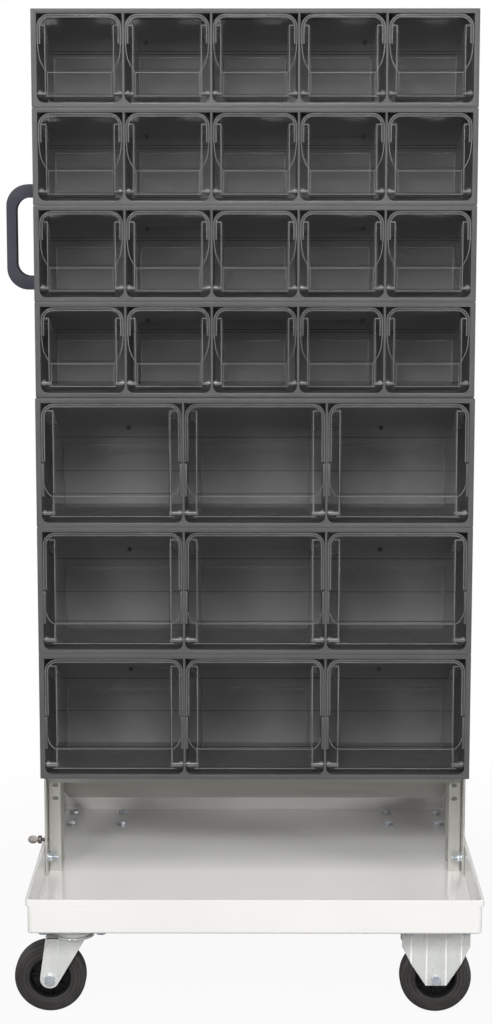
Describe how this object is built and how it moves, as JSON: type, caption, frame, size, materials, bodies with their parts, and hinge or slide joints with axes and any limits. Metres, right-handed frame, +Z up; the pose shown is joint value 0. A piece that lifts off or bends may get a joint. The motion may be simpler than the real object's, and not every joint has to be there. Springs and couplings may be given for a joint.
{
  "type": "mobile bin cart",
  "caption": "Wheeled rack of clear tip-out bins in stacked grey housings, on slotted uprights in an open sheet metal tray with swivel and fixed casters and a side handle.",
  "frame": {"origin": "on the floor, under the middle of the outer box", "axes": "+Z up, -Y the side that the bins open to, +X to the right of someone who faces the bins"},
  "size_m": [0.671, 0.6, 1.3798],
  "materials": {
    "housing_grey": "fine grain, dark grey",
    "clear_plastic": "clear and glossy",
    "white_coat": "glossy white coat",
    "galvanised": "galvanised sheet",
    "zinc_plate": "bright zinc plate",
    "handle_plastic": "grained, dark blue-grey",
    "wheel_rubber": "matt tyre on a black hub"
  },
  "bodies": {
    "cart": {"base_tray": "white_coat", "fixed_axle_front": "zinc_plate", "fixed_axle_rear": "zinc_plate", "fixed_fork_front": "zinc_plate", "fixed_fork_rear": "zinc_plate", "housing_row1": "housing_grey", "housing_row2": "housing_grey", "housing_row3": "housing_grey", "housing_row4": "housing_grey", "housing_row5": "housing_grey", "housing_row6": "housing_grey", "housing_row7": "housing_grey", "left_side_plate": "galvanised", "left_upright": "galvanised", "rear_rail": "galvanised", "right_side_plate": "galvanised", "right_upright": "galvanised", "side_handle": "handle_plastic", "support_rail": "galvanised", "swivel_plate_front": "zinc_plate", "swivel_plate_rear": "zinc_plate"},
    "swivel_front": {"swivel_fork_front": "zinc_plate", "swivel_axle_front": "zinc_plate"},
    "swivel_rear": {"swivel_fork_rear": "zinc_plate", "swivel_axle_rear": "zinc_plate"},
    "bin_row1_1": {"bin_row1_1": "clear_plastic"},
    "bin_row1_2": {"bin_row1_2": "clear_plastic"},
    "bin_row1_3": {"bin_row1_3": "clear_plastic"},
    "bin_row1_4": {"bin_row1_4": "clear_plastic"},
    "bin_row1_5": {"bin_row1_5": "clear_plastic"},
    "bin_row2_1": {"bin_row2_1": "clear_plastic"},
    "bin_row2_2": {"bin_row2_2": "clear_plastic"},
    "bin_row2_3": {"bin_row2_3": "clear_plastic"},
    "bin_row2_4": {"bin_row2_4": "clear_plastic"},
    "bin_row2_5": {"bin_row2_5": "clear_plastic"},
    "bin_row3_1": {"bin_row3_1": "clear_plastic"},
    "bin_row3_2": {"bin_row3_2": "clear_plastic"},
    "bin_row3_3": {"bin_row3_3": "clear_plastic"},
    "bin_row3_4": {"bin_row3_4": "clear_plastic"},
    "bin_row3_5": {"bin_row3_5": "clear_plastic"},
    "bin_row4_1": {"bin_row4_1": "clear_plastic"},
    "bin_row4_2": {"bin_row4_2": "clear_plastic"},
    "bin_row4_3": {"bin_row4_3": "clear_plastic"},
    "bin_row4_4": {"bin_row4_4": "clear_plastic"},
    "bin_row4_5": {"bin_row4_5": "clear_plastic"},
    "bin_row5_1": {"bin_row5_1": "clear_plastic"},
    "bin_row5_2": {"bin_row5_2": "clear_plastic"},
    "bin_row5_3": {"bin_row5_3": "clear_plastic"},
    "bin_row6_1": {"bin_row6_1": "clear_plastic"},
    "bin_row6_2": {"bin_row6_2": "clear_plastic"},
    "bin_row6_3": {"bin_row6_3": "clear_plastic"},
    "bin_row7_1": {"bin_row7_1": "clear_plastic"},
    "bin_row7_2": {"bin_row7_2": "clear_plastic"},
    "bin_row7_3": {"bin_row7_3": "clear_plastic"},
    "wheel_left_front": {"wheel_left_front": "wheel_rubber"},
    "wheel_left_rear": {"wheel_left_rear": "wheel_rubber"},
    "wheel_right_front": {"wheel_right_front": "wheel_rubber"},
    "wheel_right_rear": {"wheel_right_rear": "wheel_rubber"},
    "wing_screw": {"wing_screw": "zinc_plate"}
  },
  "joints": [
    {"name": "tilt_row1_1", "type": "hinge", "parent": "cart", "child": "bin_row1_1", "pos_m": [-0.21494, -0.18504, 1.2679], "axis": [1, 0, 0], "range_deg": [0, 40]},
    {"name": "tilt_row1_2", "type": "hinge", "parent": "cart", "child": "bin_row1_2", "pos_m": [-0.09722, -0.18504, 1.2679], "axis": [1, 0, 0], "range_deg": [0, 40]},
    {"name": "tilt_row1_3", "type": "hinge", "parent": "cart", "child": "bin_row1_3", "pos_m": [0.0205, -0.18504, 1.2679], "axis": [1, 0, 0], "range_deg": [0, 40]},
    {"name": "tilt_row1_4", "type": "hinge", "parent": "cart", "child": "bin_row1_4", "pos_m": [0.13822, -0.18504, 1.2679], "axis": [1, 0, 0], "range_deg": [0, 40]},
    {"name": "tilt_row1_5", "type": "hinge", "parent": "cart", "child": "bin_row1_5", "pos_m": [0.25594, -0.18504, 1.2679], "axis": [1, 0, 0], "range_deg": [0, 40]},
    {"name": "tilt_row2_1", "type": "hinge", "parent": "cart", "child": "bin_row2_1", "pos_m": [-0.21494, -0.18504, 1.1376], "axis": [1, 0, 0], "range_deg": [0, 40]},
    {"name": "tilt_row2_2", "type": "hinge", "parent": "cart", "child": "bin_row2_2", "pos_m": [-0.09722, -0.18504, 1.1376], "axis": [1, 0, 0], "range_deg": [0, 40]},
    {"name": "tilt_row2_3", "type": "hinge", "parent": "cart", "child": "bin_row2_3", "pos_m": [0.0205, -0.18504, 1.1376], "axis": [1, 0, 0], "range_deg": [0, 40]},
    {"name": "tilt_row2_4", "type": "hinge", "parent": "cart", "child": "bin_row2_4", "pos_m": [0.13822, -0.18504, 1.1376], "axis": [1, 0, 0], "range_deg": [0, 40]},
    {"name": "tilt_row2_5", "type": "hinge", "parent": "cart", "child": "bin_row2_5", "pos_m": [0.25594, -0.18504, 1.1376], "axis": [1, 0, 0], "range_deg": [0, 40]},
    {"name": "tilt_row3_1", "type": "hinge", "parent": "cart", "child": "bin_row3_1", "pos_m": [-0.21494, -0.18504, 1.0073], "axis": [1, 0, 0], "range_deg": [0, 40]},
    {"name": "tilt_row3_2", "type": "hinge", "parent": "cart", "child": "bin_row3_2", "pos_m": [-0.09722, -0.18504, 1.0073], "axis": [1, 0, 0], "range_deg": [0, 40]},
    {"name": "tilt_row3_3", "type": "hinge", "parent": "cart", "child": "bin_row3_3", "pos_m": [0.0205, -0.18504, 1.0073], "axis": [1, 0, 0], "range_deg": [0, 40]},
    {"name": "tilt_row3_4", "type": "hinge", "parent": "cart", "child": "bin_row3_4", "pos_m": [0.13822, -0.18504, 1.0073], "axis": [1, 0, 0], "range_deg": [0, 40]},
    {"name": "tilt_row3_5", "type": "hinge", "parent": "cart", "child": "bin_row3_5", "pos_m": [0.25594, -0.18504, 1.0073], "axis": [1, 0, 0], "range_deg": [0, 40]},
    {"name": "tilt_row4_1", "type": "hinge", "parent": "cart", "child": "bin_row4_1", "pos_m": [-0.21494, -0.18504, 0.877], "axis": [1, 0, 0], "range_deg": [0, 40]},
    {"name": "tilt_row4_2", "type": "hinge", "parent": "cart", "child": "bin_row4_2", "pos_m": [-0.09722, -0.18504, 0.877], "axis": [1, 0, 0], "range_deg": [0, 40]},
    {"name": "tilt_row4_3", "type": "hinge", "parent": "cart", "child": "bin_row4_3", "pos_m": [0.0205, -0.18504, 0.877], "axis": [1, 0, 0], "range_deg": [0, 40]},
    {"name": "tilt_row4_4", "type": "hinge", "parent": "cart", "child": "bin_row4_4", "pos_m": [0.13822, -0.18504, 0.877], "axis": [1, 0, 0], "range_deg": [0, 40]},
    {"name": "tilt_row4_5", "type": "hinge", "parent": "cart", "child": "bin_row4_5", "pos_m": [0.25594, -0.18504, 0.877], "axis": [1, 0, 0], "range_deg": [0, 40]},
    {"name": "tilt_row5_1", "type": "hinge", "parent": "cart", "child": "bin_row5_1", "pos_m": [-0.1757, -0.19702, 0.6987], "axis": [1, 0, 0], "range_deg": [0, 40]},
    {"name": "tilt_row5_2", "type": "hinge", "parent": "cart", "child": "bin_row5_2", "pos_m": [0.0205, -0.19702, 0.6987], "axis": [1, 0, 0], "range_deg": [0, 40]},
    {"name": "tilt_row5_3", "type": "hinge", "parent": "cart", "child": "bin_row5_3", "pos_m": [0.2167, -0.19702, 0.6987], "axis": [1, 0, 0], "range_deg": [0, 40]},
    {"name": "tilt_row6_1", "type": "hinge", "parent": "cart", "child": "bin_row6_1", "pos_m": [-0.1757, -0.19702, 0.5204], "axis": [1, 0, 0], "range_deg": [0, 40]},
    {"name": "tilt_row6_2", "type": "hinge", "parent": "cart", "child": "bin_row6_2", "pos_m": [0.0205, -0.19702, 0.5204], "axis": [1, 0, 0], "range_deg": [0, 40]},
    {"name": "tilt_row6_3", "type": "hinge", "parent": "cart", "child": "bin_row6_3", "pos_m": [0.2167, -0.19702, 0.5204], "axis": [1, 0, 0], "range_deg": [0, 40]},
    {"name": "tilt_row7_1", "type": "hinge", "parent": "cart", "child": "bin_row7_1", "pos_m": [-0.1757, -0.19702, 0.3421], "axis": [1, 0, 0], "range_deg": [0, 40]},
    {"name": "tilt_row7_2", "type": "hinge", "parent": "cart", "child": "bin_row7_2", "pos_m": [0.0205, -0.19702, 0.3421], "axis": [1, 0, 0], "range_deg": [0, 40]},
    {"name": "tilt_row7_3", "type": "hinge", "parent": "cart", "child": "bin_row7_3", "pos_m": [0.2167, -0.19702, 0.3421], "axis": [1, 0, 0], "range_deg": [0, 40]},
    {"name": "swivel_front_turn", "type": "hinge", "parent": "cart", "child": "swivel_front", "pos_m": [-0.2325, -0.24, 0.11], "axis": [0, 0, 1], "continuous": true},
    {"name": "swivel_rear_turn", "type": "hinge", "parent": "cart", "child": "swivel_rear", "pos_m": [-0.2325, 0.24, 0.11], "axis": [0, 0, 1], "continuous": true},
    {"name": "wheel_left_front_roll", "type": "hinge", "parent": "swivel_front", "child": "wheel_left_front", "pos_m": [-0.2655, -0.24, 0.05], "axis": [0, 1, 0], "continuous": true},
    {"name": "wheel_left_rear_roll", "type": "hinge", "parent": "swivel_rear", "child": "wheel_left_rear", "pos_m": [-0.2655, 0.24, 0.05], "axis": [0, 1, 0], "continuous": true},
    {"name": "wheel_right_front_roll", "type": "hinge", "parent": "cart", "child": "wheel_right_front", "pos_m": [0.2735, -0.24, 0.05], "axis": [0, 1, 0], "continuous": true},
    {"name": "wheel_right_rear_roll", "type": "hinge", "parent": "cart", "child": "wheel_right_rear", "pos_m": [0.2735, 0.24, 0.05], "axis": [0, 1, 0], "continuous": true},
    {"name": "wing_screw_turn", "type": "hinge", "parent": "cart", "child": "wing_screw", "pos_m": [-0.2892, -0.038, 0.1835], "axis": [1, 0, 0], "continuous": true}
  ]
}
